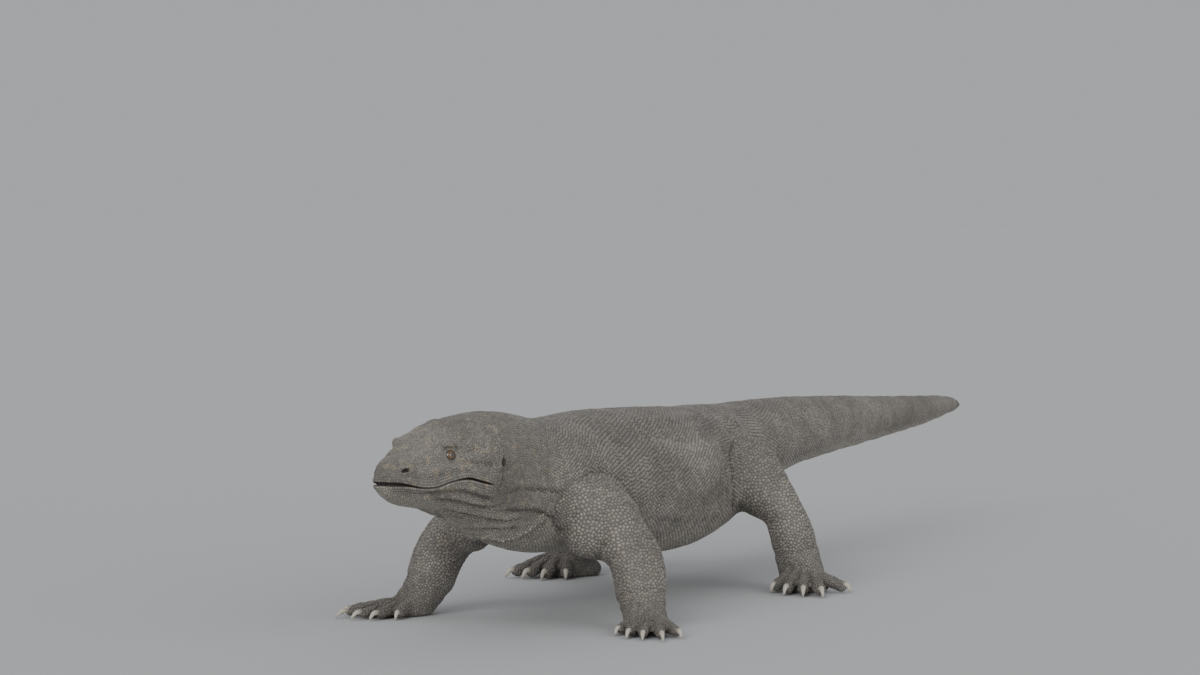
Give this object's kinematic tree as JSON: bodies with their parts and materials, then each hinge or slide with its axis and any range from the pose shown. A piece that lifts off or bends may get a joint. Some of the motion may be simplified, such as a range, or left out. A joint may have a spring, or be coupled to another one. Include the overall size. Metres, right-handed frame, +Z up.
{
  "type": "komodo dragon",
  "caption": "Life-size still model of an adult komodo dragon standing on four spread legs, head level, heavy tail carried straight out behind.",
  "frame": {"origin": "on the floor, halfway between the snout and the tip of the tail, on the plane of symmetry", "axes": "-Y is the way the animal faces, +X is its left side, +Z is up"},
  "size_m": [0.7094, 2.601, 0.3836],
  "materials": {
    "skin": "matt, scaled",
    "claw": "satin horn",
    "eye": "wet gloss"
  },
  "bodies": {
    "root": {"head": "skin", "lower_jaw": "skin", "eye_left": "eye", "eye_right": "eye", "neck": "skin", "chest": "skin", "belly": "skin", "hips": "skin", "tail_1": "skin", "tail_2": "skin", "tail_3": "skin", "tail_4": "skin", "upper_arm_left": "skin", "upper_arm_right": "skin", "forearm_left": "skin", "forearm_right": "skin", "forefoot_left": "skin", "forefoot_right": "skin", "thigh_left": "skin", "thigh_right": "skin", "shank_left": "skin", "shank_right": "skin", "hindfoot_left": "skin", "hindfoot_right": "skin", "claw_fore_left_1": "claw", "claw_fore_left_2": "claw", "claw_fore_left_3": "claw", "claw_fore_left_4": "claw", "claw_fore_left_5": "claw", "claw_fore_right_1": "claw", "claw_fore_right_2": "claw", "claw_fore_right_3": "claw", "claw_fore_right_4": "claw", "claw_fore_right_5": "claw", "claw_hind_left_1": "claw", "claw_hind_left_2": "claw", "claw_hind_left_3": "claw", "claw_hind_left_4": "claw", "claw_hind_left_5": "claw", "claw_hind_right_1": "claw", "claw_hind_right_2": "claw", "claw_hind_right_3": "claw", "claw_hind_right_4": "claw", "claw_hind_right_5": "claw"}
  },
  "joints": []
}
